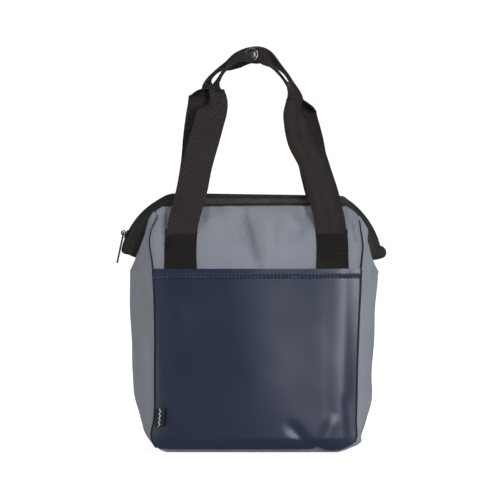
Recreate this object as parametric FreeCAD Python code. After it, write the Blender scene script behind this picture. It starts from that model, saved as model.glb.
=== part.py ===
"""Insulated zip-top cooler bag, in millimetres.

X runs across the bag, the front faces -Y and +Z is up. The origin is the centre of the base.
The lower body stands still. The front and back upper panels swing outward from the line at the
top of the lower body, each handle swings on its upper panel, the zipper slider follows the curved
left end of the zipper, and the puller swings on the slider's bail.
"""
import FreeCAD, Part
import math
import os

V = FreeCAD.Vector
X_AXIS = V(1, 0, 0)
Y_AXIS = V(0, 1, 0)
Z_AXIS = V(0, 0, 1)

# Body
HALF_WIDTH = 105.0  # centre to a side seam
HALF_DEPTH = 75.0  # centre to the front panel's outer face
WALL_TOP = 184.0  # top of the lower walls
HINGE_Z = 188.0  # the line that an upper panel swings on, level with its outer face
GUSSET_BULGE = [(1.0, 0.5), (12.0, 8.0), (30.0, 15.0), (60.0, 21.0), (120.0, 25.0), (WALL_TOP, 28.0)]
FOLD_CLEARANCE = 1.3  # how far the gusset's folded top stands outside the side seam
FOLD_FOOT_Z = WALL_TOP + 2.6  # lower corners of the folded top
VALLEY_RISE = 7.0  # lowest point of the tuck, above those corners

# Layers, from outside to inside
SHELL = 1.0
FOAM = 4.0
LINER = 0.8
BOARD = 1.2
LAYER_GAP = 0.1

# Upper panels and zipper
RIM_Y = 21.0
RIM_Z = 255.0
RIM_HALF_WIDTH = 99.0
CREST_Z = 266.5
BAND = 1.2  # thickness of zipper fabric and tape
BAND_WIDTH = 23.0
BAND_HALF_LENGTH = 100.0
TEETH_HALF_WIDTH = 1.9  # centre to the outer edge of a row on the wings
TOOTH_PITCH = 5.0
TOOTH_WIDTH = 1.9
TOOTH_THICKNESS = 1.4
POST_SLOT = 0.9  # half of the gap that the slider's post runs in
WING_START = 101.0
WING_CENTRE = {"left": (64.4, 191.2), "right": (46.8, 190.1)}  # of each end's curve: out from the middle, up
WING_RADIUS = {"left": 81.6, "right": 88.6}
WING_END_Z = 207.0
ROOF_TILT = 29.0  # slope of the zipper band beside the crest, degrees
WING_TILT = 94.0  # slope of the band where the two halves hang face to face

# Pocket, piping and label
POCKET_GAP = 5.2
POCKET_FABRIC = 0.8
POCKET_BOTTOM = 3.0
POCKET_TOP = 188.7
HEM_HEIGHT = 8.2
PIPING_RADIUS = 1.4

# Handles
WEBBING_WIDTH = 32.0
WEBBING = 1.6
STRAP_X = 77.0  # centre of a strap at its anchor
ANCHOR_LENGTH = 44.0
HANDLE_PIVOT_UP = 48.0  # along the upper panel, from its hinge line
HANDLE_PIVOT_OUT = 2.4
NECK_Z = 384.0  # where a strap reaches the grip's depth
GRIP_FOOT_Z = 378.0
HANDLE_TOP = 427.0
GRIP_WIDTH = 17.0  # half of the webbing's width, and the fold
GRIP_THICKNESS = 3.6
GRIP_CLEARANCE = 1.1  # centre plane to a grip's inner face
SNAP_X = -5.0
SNAP_Z = 418.0
CAP_RADIUS = 7.3
SOCKET_RADIUS = 5.5
SOCKET_HOLE = 3.4
STUD_RADIUS = 4.6
POST_RADIUS = 2.0
RIVET_RADIUS = 6.0

# Slider, puller and end tabs
SLIDER_RISE = 25.0  # place of the closed slider on the left end's curve, degrees above level
SLIDER_HALF_SPAN = 3.1
SLIDER_PLATE = 1.4  # thickness of the plates above and below the teeth
SLIDER_GAP = 0.4  # teeth to a plate
SLIDER_HALF_WIDTH = 4.2
PULLER_LENGTH = 33.0
PULLER_LEAN = 12.0
PULLER_WIDTH = 8.0
PULLER_THICKNESS = 1.4
PULLER_SLOT = 5.0
CROSS_BAR_RADIUS = 0.9
BAIL_RADIUS = 2.9
BAIL_HOLE = 1.6
BAIL_THICKNESS = 1.6
BAIL_RISE = 2.4  # the slider's top plate to the ring's centre
TAB_LENGTH = 7.5
TAB_HALF_WIDTH = 3.4
TAB_HEIGHT = 4.5


def box(x0, x1, y0, y1, z0, z1):
    """Box between two corners."""
    return Part.makeBox(x1 - x0, y1 - y0, z1 - z0, V(x0, y0, z0))


def face_of(points):
    """Flat face with straight edges."""
    return Part.Face(Part.makePolygon(points + points[:1]))


def mirror_y(shape):
    """The same piece on the other side of the centre plane, front to back."""
    return shape.mirror(V(0, 0, 0), Y_AXIS)


def mirror_x(shape):
    """The same piece on the other side, left to right."""
    return shape.mirror(V(0, 0, 0), X_AXIS)


def one_solid(shapes):
    """Joins touching or crossing solids into one."""
    return shapes[0].multiFuse(shapes[1:]).removeSplitter()


def closed_solid(faces):
    """Solid inside a closed set of flat faces."""
    shell = Part.Shell(faces)
    shell.sewShape()
    solid = Part.Solid(shell)
    if solid.Volume < 0:
        solid.reverse()
    return solid


PANEL_LEAN = math.degrees(math.atan2(HALF_DEPTH - RIM_Y, RIM_Z - HINGE_Z))
PANEL_LENGTH = math.hypot(HALF_DEPTH - RIM_Y, RIM_Z - HINGE_Z)
PANEL_ORIGIN = V(0, -HALF_DEPTH, HINGE_Z)


def on_slope(shape, origin, lean):
    """Stands a piece drawn flat in X and Y up on a slope that leans back from the front.

    The piece's Y becomes up the slope, and its Z becomes outward from it.
    """
    placed = shape.copy()
    slope = FreeCAD.Placement(origin, FreeCAD.Rotation(X_AXIS, 90.0 - lean))
    placed.Placement = slope.multiply(shape.Placement)
    return placed


def panel_point(up, out):
    """Point on the front upper panel, from its hinge line up the panel and outward from it."""
    lean = math.radians(PANEL_LEAN)
    y = -HALF_DEPTH + up * math.sin(lean) - out * math.cos(lean)
    z = HINGE_Z + up * math.cos(lean) + out * math.sin(lean)
    return V(0, y, z)


# Lower body


def base_layers():
    """Outer base fabric, stiff board, foam and liner, from the ground up."""
    inner_x = HALF_WIDTH - SHELL - FOAM - 1.0
    inner_y = HALF_DEPTH - SHELL - FOAM - 1.0
    layers = {"base_panel": box(-HALF_WIDTH, HALF_WIDTH, -HALF_DEPTH, HALF_DEPTH, 0, SHELL)}
    z = SHELL
    for name, thickness in (("base_board", BOARD), ("base_foam", FOAM), ("base_liner", LINER)):
        layers[name] = box(-inner_x, inner_x, -inner_y, inner_y, z, z + thickness)
        z += thickness
    return layers


def front_wall_layers():
    """Front lower panel, its foam and its liner."""
    layers = {}
    depth = -HALF_DEPTH
    half = HALF_WIDTH
    for name, thickness in (("front_panel", SHELL), ("front_foam", FOAM), ("front_liner", LINER)):
        layers[name] = box(-half, half, depth, depth + thickness, SHELL, WALL_TOP)
        depth += thickness
        half -= thickness + LAYER_GAP
    return layers


def gusset_section(edge_x, bulge, half_depth, thickness, z):
    """Plan outline of one gusset layer: an outward arc and its inner copy."""
    corners = [V(edge_x, -half_depth, z), V(edge_x, half_depth, z)]
    inner = [V(edge_x - thickness, -half_depth, z), V(edge_x - thickness, half_depth, z)]
    outer_arc = Part.Arc(corners[0], V(edge_x + bulge, 0, z), corners[1]).toShape()
    inner_arc = Part.Arc(inner[1], V(edge_x - thickness + bulge, 0, z), inner[0]).toShape()
    ends = [Part.makeLine(corners[1], inner[1]), Part.makeLine(inner[0], corners[0])]
    return Part.Wire([outer_arc, ends[0], inner_arc, ends[1]])


def gusset_layers():
    """Right side gusset, its foam and its liner, flat at the base and bulging towards the top."""
    layers = {}
    edge_x = HALF_WIDTH
    half_depth = HALF_DEPTH - SHELL
    for name, thickness in (("gusset", SHELL), ("gusset_foam", FOAM), ("gusset_liner", LINER)):
        sections = [
            gusset_section(edge_x, bulge, half_depth, thickness, z) for z, bulge in GUSSET_BULGE
        ]
        layers[name] = Part.makeLoft(sections, True, True)
        edge_x -= thickness + LAYER_GAP
        half_depth = HALF_DEPTH - SHELL - FOAM - LAYER_GAP
        if name == "gusset_foam":
            half_depth -= LINER
    return layers


def gusset_fold():
    """Top of the right gusset: a gable panel each side, tucked inward between them."""
    seam_x = HALF_WIDTH + FOLD_CLEARANCE
    foot = V(seam_x, -HALF_DEPTH + 3.0, FOLD_FOOT_Z)
    corner = V(seam_x, -RIM_Y + 2.0, RIM_Z - 5.0)
    apex = V(HALF_WIDTH + GUSSET_BULGE[-1][1], 0, FOLD_FOOT_Z)
    valley = V(seam_x, 0, FOLD_FOOT_Z + VALLEY_RISE)
    back_foot = V(foot.x, -foot.y, foot.z)
    back_corner = V(corner.x, -corner.y, corner.z)
    rim = [foot, corner, valley, back_corner, back_foot, apex]
    folds = [[foot, corner, apex], [corner, valley, apex]]
    folds += [[valley, back_corner, apex], [back_corner, back_foot, apex]]
    inside = V(-0.8, 0, -2.2)
    faces = [face_of(points) for points in folds]
    faces += [face_of([point + inside for point in points]) for points in folds]
    for here, after in zip(rim, rim[1:] + rim[:1]):
        faces.append(face_of([here, after, after + inside, here + inside]))
    return closed_solid(faces)


def front_pocket():
    """Slip pocket: a front sheet joined to the front panel at its sides and bottom."""
    back = -HALF_DEPTH
    front = back - POCKET_GAP
    sheet = box(-HALF_WIDTH, HALF_WIDTH, front - POCKET_FABRIC, front, POCKET_BOTTOM, POCKET_TOP)
    side = box(
        HALF_WIDTH - POCKET_FABRIC, HALF_WIDTH, front, back, POCKET_BOTTOM, WALL_TOP
    )
    bottom = box(
        -HALF_WIDTH, HALF_WIDTH, front, back, POCKET_BOTTOM, POCKET_BOTTOM + POCKET_FABRIC
    )
    return one_solid([sheet, side, mirror_x(side), bottom])


def pocket_hem():
    """Turned and stitched hem along the pocket's top edge."""
    front = -HALF_DEPTH - POCKET_GAP - POCKET_FABRIC
    return box(-HALF_WIDTH, HALF_WIDTH, front - POCKET_FABRIC, front, POCKET_TOP - HEM_HEIGHT, POCKET_TOP)


def piping_pair():
    """Piping up both front side seams of the lower body."""
    x = HALF_WIDTH + PIPING_RADIUS + 0.2
    foot = V(x, -HALF_DEPTH - 0.6, POCKET_BOTTOM)
    right = Part.makeCylinder(PIPING_RADIUS, WALL_TOP - POCKET_BOTTOM, foot, Z_AXIS)
    return Part.makeCompound([right, mirror_x(right)])


def side_label():
    """Small folded label, sewn into the left front seam."""
    front = -HALF_DEPTH - POCKET_GAP - POCKET_FABRIC
    return box(-HALF_WIDTH, -HALF_WIDTH + 10.0, front - 1.0, front, 27.0, 45.0)


def strap_tail(centre_x):
    """End of a strap, sewn to the front panel behind the pocket."""
    half = WEBBING_WIDTH / 2
    return box(
        centre_x - half, centre_x + half, -HALF_DEPTH - WEBBING, -HALF_DEPTH, 150.0, WALL_TOP - 0.5
    )


# Zipper ends


def wing_centre(side):
    """Centre of the curve that the zipper's end follows."""
    sign = -1.0 if side == "left" else 1.0
    out, up = WING_CENTRE[side]
    return V(sign * out, 0, up)


def wing_radial(side, degrees):
    """Outward direction of the zipper's end curve, with degrees measured from level."""
    sign = -1.0 if side == "left" else 1.0
    angle = math.radians(degrees)
    return V(sign * math.cos(angle), 0, math.sin(angle))


def wing_span(side):
    """Degrees above level where a zipper end starts, beside the crest, and where it stops."""
    out, up = WING_CENTRE[side]
    start = math.degrees(math.acos((WING_START - out) / WING_RADIUS[side]))
    stop = math.degrees(math.asin((WING_END_Z - up) / WING_RADIUS[side]))
    return start, stop


def wing_section(top, inward, tilt):
    """Cross-section of the front band, from the teeth outward and down."""
    slope = math.radians(tilt)
    across = inward * math.sin(slope) - Y_AXIS * math.cos(slope)
    normal = inward * -math.cos(slope) - Y_AXIS * math.sin(slope)
    edge = top - Y_AXIS * (TEETH_HALF_WIDTH + 2 * LAYER_GAP) + inward * (BAND * math.cos(slope))
    far = edge + across * BAND_WIDTH
    return Part.makePolygon([edge, far, far + normal * BAND, edge + normal * BAND, edge])


def wing_half(side):
    """Front half of the zipper end that overhangs the bag: a roof slope that twists to hang."""
    centre = wing_centre(side)
    start, stop = wing_span(side)
    steps = 5
    sections = []
    for i in range(steps + 1):
        share = i / steps
        radial = wing_radial(side, start + (stop - start) * share)
        tilt = ROOF_TILT + (WING_TILT - ROOF_TILT) * share**0.6
        inward = Z_AXIS * -1 if i == 0 else radial * -1
        sections.append(wing_section(centre + radial * WING_RADIUS[side], inward, tilt))
    return Part.makeLoft(sections, True, True)


def arc_bar(side, inner, outer, half_width, start, stop):
    """Bar that follows the zipper end's curve between two radii and two angles."""
    centre = wing_centre(side)
    middle = (start + stop) / 2
    points = []
    for radius in (inner, outer):
        points.append([centre + wing_radial(side, a) * radius for a in (start, middle, stop)])
    low, high = points
    edges = [
        Part.Arc(low[0], low[1], low[2]).toShape(),
        Part.makeLine(low[2], high[2]),
        Part.Arc(high[2], high[1], high[0]).toShape(),
        Part.makeLine(high[0], low[0]),
    ]
    bar = Part.Face(Part.Wire(edges)).extrude(Y_AXIS * (2 * half_width))
    bar.translate(Y_AXIS * -half_width)
    return bar


def wing_teeth(side):
    """Two rows of teeth along a zipper end, with the slot that the slider's post runs in."""
    radius = WING_RADIUS[side]
    start, stop = wing_span(side)
    both = arc_bar(side, radius - TOOTH_THICKNESS, radius, TEETH_HALF_WIDTH, stop, start)
    slot = box(-200, 200, -POST_SLOT, POST_SLOT, WING_END_Z - 1, CREST_Z + 1)
    return both.cut(slot)


def end_tab(side):
    """Fabric tab that covers the end of the zipper."""
    stop = wing_span(side)[1]
    top = wing_centre(side) + wing_radial(side, stop) * (WING_RADIUS[side] + 0.5)
    top = V(top.x, -TAB_HALF_WIDTH, WING_END_Z - 0.5)
    drop = Z_AXIS * -TAB_HEIGHT
    inward = wing_radial(side, 0) * -TAB_LENGTH + drop
    end = face_of([top, top + drop, top + inward + drop, top + inward])
    return end.extrude(Y_AXIS * (2 * TAB_HALF_WIDTH))


# Upper panels


def upper_outline(inset):
    """Outline of an upper panel: straight sides that draw in towards the rim."""
    half = HALF_WIDTH - inset
    rim_half = RIM_HALF_WIDTH - inset
    shoulder = PANEL_LENGTH * 0.72
    return [
        V(-half, 0.5, 0),
        V(half, 0.5, 0),
        V(half, shoulder, 0),
        V(rim_half, PANEL_LENGTH, 0),
        V(-rim_half, PANEL_LENGTH, 0),
        V(-half, shoulder, 0),
    ]


def upper_panel_layers():
    """Front upper panel, its foam and its liner, all leaning back."""
    layers = {}
    out = 0.0
    for name, thickness, inset in (
        ("upper_panel", SHELL, 0.0),
        ("upper_foam", FOAM, 3.0),
        ("upper_liner", LINER, 3.0),
    ):
        slab = face_of(upper_outline(inset)).extrude(V(0, 0, -thickness))
        slab.translate(V(0, 0, out))
        layers[name] = on_slope(slab, PANEL_ORIGIN, PANEL_LEAN)
        out -= thickness
    return layers


def zip_band():
    """Front half of the zipper panel, from the rim up to the teeth."""
    teeth_edge = TEETH_HALF_WIDTH + 1.3
    rise = CREST_Z - 0.9 - RIM_Z
    run = RIM_Y - teeth_edge
    normal = V(0, -rise, run).normalize() * BAND
    foot = V(-BAND_HALF_LENGTH, -RIM_Y, RIM_Z)
    crest = V(-BAND_HALF_LENGTH, -teeth_edge, RIM_Z + rise)
    profile = face_of([foot, crest, crest + normal, foot + normal])
    return profile.extrude(X_AXIS * (2 * BAND_HALF_LENGTH))


def zip_teeth(offset):
    """Comb of teeth that reach across the crest, with its teeth moved along by the offset."""
    spine_back = -TEETH_HALF_WIDTH - 1.2
    spine_front = -1.3
    tip = 0.9
    points = [V(-BAND_HALF_LENGTH, spine_back, 0), V(-BAND_HALF_LENGTH, spine_front, 0)]
    count = int(2 * BAND_HALF_LENGTH / TOOTH_PITCH) - 1
    for i in range(count):
        left = -BAND_HALF_LENGTH + offset + i * TOOTH_PITCH
        right = left + TOOTH_WIDTH
        points += [V(left, spine_front, 0), V(left, tip, 0), V(right, tip, 0), V(right, spine_front, 0)]
    points += [V(BAND_HALF_LENGTH, spine_front, 0), V(BAND_HALF_LENGTH, spine_back, 0)]
    comb = face_of(points).extrude(Z_AXIS * TOOTH_THICKNESS)
    comb.translate(Z_AXIS * (CREST_Z - TOOTH_THICKNESS / 2 - 0.2))
    return comb


def upper_piping():
    """Piping up both side edges of the front upper panel, as far as its shoulders."""
    x = HALF_WIDTH + PIPING_RADIUS + 0.2
    foot = panel_point(4.0, PIPING_RADIUS) + X_AXIS * x
    top = panel_point(PANEL_LENGTH * 0.72, PIPING_RADIUS) + X_AXIS * x
    along = top - foot
    right = Part.makeCylinder(PIPING_RADIUS, along.Length, foot, along)
    return Part.makeCompound([right, mirror_x(right)])


def strap_anchor(centre_x):
    """Length of webbing that is sewn flat on the front upper panel."""
    half = WEBBING_WIDTH / 2
    flat = box(centre_x - half, centre_x + half, 2.0, 2.0 + ANCHOR_LENGTH, 0, WEBBING)
    return on_slope(flat, PANEL_ORIGIN, PANEL_LEAN)


# Handles


def strap_outline():
    """Outline of the right strap on its slope, from its pivot up to the neck."""
    half = WEBBING_WIDTH / 2
    inner = [V(STRAP_X - half, 1.5, 0), V(55, 26, 0), V(44, 78, 0), V(30, 135, 0), V(34, 163, 0)]
    outer = [V(47, 163, 0), V(60, 138, 0), V(70, 108, 0), V(77, 78, 0), V(88.5, 26, 0)]
    return inner + outer + [V(STRAP_X + half, 1.5, 0)]


def grip():
    """Middle of the handle, folded in half lengthwise and arched over the crest."""
    inner_y = -GRIP_CLEARANCE
    feet = [(-49.0, GRIP_FOOT_Z), (49.0, GRIP_FOOT_Z), (32.0, GRIP_FOOT_Z), (-32.0, GRIP_FOOT_Z)]
    a, b, c, d = [V(x, inner_y, z) for x, z in feet]
    inside_top = V(0, inner_y, HANDLE_TOP - GRIP_WIDTH)
    edges = [
        Part.Arc(a, V(0, inner_y, HANDLE_TOP), b).toShape(),
        Part.makeLine(b, c),
        Part.Arc(c, inside_top, d).toShape(),
        Part.makeLine(d, a),
    ]
    return Part.Face(Part.Wire(edges)).extrude(Y_AXIS * -GRIP_THICKNESS)


def handle_webbing():
    """Front handle: two straps that lean back to the centre, and the folded grip between them."""
    pivot = panel_point(HANDLE_PIVOT_UP, HANDLE_PIVOT_OUT)
    grip_y = -GRIP_CLEARANCE - GRIP_THICKNESS / 2
    lean = math.degrees(math.atan2(grip_y - pivot.y, NECK_Z - pivot.z))
    flat = face_of(strap_outline()).extrude(V(0, 0, WEBBING))
    flat.translate(V(0, 0, -WEBBING / 2))
    right = on_slope(flat, pivot, lean)
    return one_solid([grip(), right, mirror_x(right)])


def snap_parts():
    """Press-stud that holds the grips together: cap and socket in front, stud and rivet behind."""
    face = V(SNAP_X, -GRIP_CLEARANCE - GRIP_THICKNESS, SNAP_Z)
    inside = V(SNAP_X, -GRIP_CLEARANCE, SNAP_Z)
    cap_base = Part.makeCylinder(CAP_RADIUS, 0.7, face, Y_AXIS * -1)
    cap_dome = Part.makeCone(CAP_RADIUS - 0.4, CAP_RADIUS - 1.7, 0.8, face - Y_AXIS * 0.7, Y_AXIS * -1)
    socket_disc = Part.makeCylinder(SOCKET_RADIUS, 0.9, inside, Y_AXIS)
    socket_hole = Part.makeCylinder(SOCKET_HOLE, 0.9, inside, Y_AXIS)
    behind = V(inside.x, -inside.y, inside.z)
    stud_base = Part.makeCylinder(STUD_RADIUS, 0.7, behind, Y_AXIS * -1)
    stud_post = Part.makeCylinder(POST_RADIUS, 1.9, behind, Y_AXIS * -1)
    back = V(face.x, -face.y, face.z)
    return {
        "snap_cap": one_solid([cap_base, cap_dome]),
        "snap_socket": socket_disc.cut(socket_hole),
        "snap_stud": one_solid([stud_base, stud_post]),
        "snap_rivet": Part.makeCylinder(RIVET_RADIUS, 1.0, back, Y_AXIS),
    }


# Slider and puller


def slider():
    """Slider body: a plate over the teeth, a plate under them and the post between."""
    start = SLIDER_RISE - SLIDER_HALF_SPAN
    stop = SLIDER_RISE + SLIDER_HALF_SPAN
    above = WING_RADIUS["left"] + SLIDER_GAP
    below = WING_RADIUS["left"] - TOOTH_THICKNESS - SLIDER_GAP
    top = arc_bar("left", above, above + SLIDER_PLATE, SLIDER_HALF_WIDTH, start, stop)
    bottom = arc_bar("left", below - SLIDER_PLATE, below, 1.3, start, stop)
    post = arc_bar("left", below - 1.2, above + 0.6, POST_SLOT - 0.35, SLIDER_RISE - 0.8, SLIDER_RISE + 0.8)
    return one_solid([top, bottom, post])


def bail_centre():
    """Point that the puller swings on."""
    reach = WING_RADIUS["left"] + SLIDER_GAP + SLIDER_PLATE + BAIL_RISE
    return wing_centre("left") + wing_radial("left", SLIDER_RISE) * reach


def slider_bail():
    """Ring that stands on the slider's top plate."""
    start = bail_centre() - Y_AXIS * (BAIL_THICKNESS / 2)
    ring = Part.makeCylinder(BAIL_RADIUS, BAIL_THICKNESS, start, Y_AXIS)
    hole = Part.makeCylinder(BAIL_HOLE, BAIL_THICKNESS, start, Y_AXIS)
    top_radius = WING_RADIUS["left"] + SLIDER_GAP + SLIDER_PLATE
    plate_top = Part.makeCylinder(top_radius, 20.0, wing_centre("left") - Y_AXIS * 10, Y_AXIS)
    return ring.cut(hole).cut(plate_top)


def puller():
    """Flat puller with a slotted end whose cross-bar runs through the bail."""
    half = PULLER_WIDTH / 2
    thick = PULLER_THICKNESS / 2
    plate = box(-thick, thick, -half, half, -PULLER_LENGTH, CROSS_BAR_RADIUS)
    window = box(-PULLER_SLOT, PULLER_SLOT, -half / 2, half / 2, -PULLER_SLOT, CROSS_BAR_RADIUS + 1)
    bar = Part.makeCylinder(CROSS_BAR_RADIUS, PULLER_WIDTH, V(0, -half, 0), Y_AXIS)
    shape = one_solid([plate.cut(window), bar])
    shape.Placement = FreeCAD.Placement(bail_centre(), FreeCAD.Rotation(Y_AXIS, PULLER_LEAN))
    return shape


def both_ways(name, shape, nodes):
    """Adds a front piece and its mirrored back piece."""
    nodes["front_" + name] = shape
    nodes["back_" + name] = mirror_y(shape)


def build():
    """All sub-parts, by name."""
    nodes = base_layers()
    for name, shape in front_wall_layers().items():
        nodes[name] = shape
        nodes[name.replace("front", "back")] = mirror_y(shape)
    side_pieces = gusset_layers()
    side_pieces["gusset_fold"] = gusset_fold()
    for name, shape in side_pieces.items():
        nodes["right_" + name] = shape
        nodes["left_" + name] = mirror_x(shape)
    nodes["front_pocket"] = front_pocket()
    nodes["pocket_hem"] = pocket_hem()
    nodes["side_label"] = side_label()
    both_ways("piping", piping_pair(), nodes)
    for side, sign in (("left", -1.0), ("right", 1.0)):
        nodes[side + "_strap_tail"] = strap_tail(sign * STRAP_X)
        both_ways(side + "_strap_anchor", strap_anchor(sign * STRAP_X), nodes)
        half = wing_half(side)
        nodes[side + "_wing_front"] = half
        nodes[side + "_wing_back"] = mirror_y(half)
        nodes[side + "_wing_teeth"] = wing_teeth(side)
        nodes[side + "_end_tab"] = end_tab(side)
    for name, shape in upper_panel_layers().items():
        both_ways(name, shape, nodes)
    both_ways("zip_band", zip_band(), nodes)
    nodes["front_zip_teeth"] = zip_teeth(1.0)
    nodes["back_zip_teeth"] = mirror_y(zip_teeth(1.0 + TOOTH_PITCH / 2))
    both_ways("upper_piping", upper_piping(), nodes)
    both_ways("handle_webbing", handle_webbing(), nodes)
    nodes.update(snap_parts())
    nodes["zipper_slider"] = slider()
    nodes["slider_bail"] = slider_bail()
    nodes["zipper_puller"] = puller()
    return nodes


def main():
    os.makedirs("parts", exist_ok=True)
    nodes = build()
    for name, shape in nodes.items():
        if not shape.isValid():
            print("not valid:", name)
        shape.exportStep("parts/" + name + ".step")
    pivot = panel_point(HANDLE_PIVOT_UP, HANDLE_PIVOT_OUT)
    bail = bail_centre()
    print(len(nodes), "sub-parts")
    print("handle pivot y %.3f z %.3f" % (pivot.y, pivot.z))
    print("bail centre x %.3f z %.3f" % (bail.x, bail.z))
    print("panel lean %.2f" % PANEL_LEAN)


main()
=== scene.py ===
"""The looks of the insulated cooler bag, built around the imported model.

Shapes are worked out in millimetres in the model's own frame (X across, the front faces -Y, +Z up)
and turned into metres when a mesh is made. Outlines that are known from straight in front are
given as they line up on the front plane; seen() carries such a point back to its real depth.
"""
import bpy
import math
import numpy as np
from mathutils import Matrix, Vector, noise


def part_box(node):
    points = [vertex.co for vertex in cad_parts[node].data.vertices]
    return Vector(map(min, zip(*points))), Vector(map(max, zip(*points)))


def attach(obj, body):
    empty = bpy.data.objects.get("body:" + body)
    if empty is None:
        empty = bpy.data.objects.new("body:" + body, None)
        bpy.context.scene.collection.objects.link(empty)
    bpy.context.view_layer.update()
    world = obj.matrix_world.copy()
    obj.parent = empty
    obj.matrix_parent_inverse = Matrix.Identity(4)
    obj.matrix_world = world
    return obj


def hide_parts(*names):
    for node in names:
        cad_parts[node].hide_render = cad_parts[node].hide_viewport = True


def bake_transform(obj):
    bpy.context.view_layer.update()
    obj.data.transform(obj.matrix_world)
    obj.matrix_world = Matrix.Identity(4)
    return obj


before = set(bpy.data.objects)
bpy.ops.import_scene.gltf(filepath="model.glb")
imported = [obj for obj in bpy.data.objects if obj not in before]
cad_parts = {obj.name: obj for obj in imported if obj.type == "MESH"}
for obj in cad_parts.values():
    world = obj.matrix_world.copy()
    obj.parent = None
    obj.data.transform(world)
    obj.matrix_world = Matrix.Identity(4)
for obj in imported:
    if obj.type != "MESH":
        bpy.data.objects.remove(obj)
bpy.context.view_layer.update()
scene = bpy.context.scene

MM = 0.001
SIDES = ("left", "right")
SIGN = {"left": -1.0, "right": 1.0}
PLACES = (("front", 1), ("back", -1))  # a back piece is a front one, mirrored

# Eye
EYE_X = -6.7
EYE_Z = 209.0
EYE_DISTANCE = 1875.0  # from the eye to the bag's front plane
VIEW_WIDTH = 515.0  # width of the view at the front plane

# Body
FRONT_Y = -75.0
HINGE_Z = 188.0
PANEL_SLOPE = (-21.0 - FRONT_Y) / (255.0 - HINGE_Z)  # how far an upper panel leans in per mm of height
FABRIC = 0.9
PIPING_RADIUS = 1.3
PIPING_FOOT = {"left": 5.5, "right": 11.0}  # height of its lower end

# Side seams as (height, x), side gussets at mid-depth as (height, x)
SEAMS = {
    "left": [(0.5, -93), (3, -99), (9, -105.5), (16, -108), (34, -105.3), (80, -104.2), (137, -104.2),
        (165, -105), (HINGE_Z, -106.2)],
    "right": [(0.5, 84), (3, 92), (7, 98), (11, 100.6), (34, 102.2), (80, 103), (137, 105), (165, 106.4),
        (HINGE_Z, 107.3)],
}
BULGES = {
    "left": [(0.5, -101), (4, -108), (9, -113), (14, -117.5), (28, -122.5), (62, -130), (116, -133.5),
        (160, -135), (HINGE_Z, -135.2)],
    "right": [(0.5, 94), (4, 104), (12, 110.5), (24, 116), (42, 120.3), (79, 122.9), (116, 126),
        (160, 128.8), (HINGE_Z, 130.8)],
}


# ---- shape helpers

CORD_SIDES = 10


def follow(points, at):
    """Smooth values at the given places through points, each (place, value, ...)."""
    table = np.array(points, float)
    places, values = table[:, 0], table[:, 1:]
    slopes = np.gradient(values, places, axis=0)
    at = np.atleast_1d(np.asarray(at, float))
    spots = np.clip(at.ravel(), places[0], places[-1])
    left = np.clip(np.searchsorted(places, spots, side="right") - 1, 0, len(places) - 2)
    gap = (places[left + 1] - places[left])[:, None]
    t = (spots - places[left])[:, None] / gap
    start, end = values[left], values[left + 1]
    ease = 3 * t**2 - 2 * t**3
    bend = slopes[left] * (t**3 - 2 * t**2 + t) + slopes[left + 1] * (t**3 - t**2)
    result = start * (1 - ease) + end * ease + bend * gap
    return result[:, 0].reshape(at.shape) if result.shape[1] == 1 else result


def run(points):
    """Distance along a path to each of its points."""
    return np.concatenate([[0], np.cumsum(np.linalg.norm(np.diff(points, axis=0), axis=1))])


def arch(count):
    """0 at both ends and 1 in the middle, in so many even steps."""
    return np.sin(math.pi * np.linspace(0, 1, count))


def shares(columns, rows, low=0.0, high=1.0):
    """Grid values that run evenly from 0 to 1 across, and from low to high up."""
    return np.meshgrid(np.linspace(0, 1, columns), np.linspace(low, high, rows))


def smooth(value, low, high):
    """0 below low, 1 above high and an even S between."""
    t = np.clip((np.asarray(value, float) - low) / (high - low), 0, 1)
    return t * t * (3 - 2 * t)


def seen(x, z, y):
    """The point at depth y that lines up with (x, z) on the front plane."""
    scale = 1 + (y - FRONT_Y) / EYE_DISTANCE
    return np.stack(np.broadcast_arrays(EYE_X + (x - EYE_X) * scale, y, EYE_Z + (z - EYE_Z) * scale), -1)


def panel_y(z):
    """Depth of the upper front panel's outer face at a height."""
    return FRONT_Y + (z - HINGE_Z) * PANEL_SLOPE


def unit(vectors):
    """Vectors of length 1."""
    length = np.linalg.norm(vectors, axis=-1, keepdims=True)
    return vectors / np.maximum(length, 1e-9)


def grid_normals(grid):
    """Outward directions of a grid whose columns run right and rows run up, seen from outside."""
    right = np.gradient(grid, axis=1)
    up = np.gradient(grid, axis=0)
    return unit(np.cross(right, up))


def push(grid, distance):
    """Moves a grid outward by a distance at each point."""
    return grid + grid_normals(grid) * np.asarray(distance)[..., None]


def blur_noise(points, size, seed=0.0):
    """Soft noise from -1 to 1 at each point, with features of about the given size."""
    flat = points.reshape(-1, 3) / size + seed
    return np.array([noise.noise(Vector(p)) for p in flat]).reshape(points.shape[:-1])


def crease(across, along, start, end, depth, width):
    """A soft ridge, or a valley where depth is negative, along a line that fades at its ends."""
    line = np.subtract(end, start).astype(float)
    length = np.hypot(*line)
    t = ((across - start[0]) * line[0] + (along - start[1]) * line[1]) / length**2
    off = ((across - start[0]) * line[1] - (along - start[1]) * line[0]) / length
    fade = smooth(t, -0.08, 0.22) * (1 - smooth(t, 0.7, 1.08))
    return depth * np.exp(-((off / width) ** 2)) * fade


def creases(across, along, rows):
    """Several creases added up, each (start, end, depth, width)."""
    return sum(crease(across, along, *row) for row in rows)


def mirror(grid):
    """The same grid on the other side of the centre plane, front to back, still facing outward."""
    return (np.asarray(grid) * (1, -1, 1))[:, ::-1]


def facing(grid, turn):
    """A front grid as it is, or mirrored to the back where turn is -1."""
    return grid if turn > 0 else mirror(grid)


def outward(grid, side):
    """A right side's grid as it is, or a left side's with its columns turned round to face outward."""
    return grid if side == "right" else grid[:, ::-1]


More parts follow.
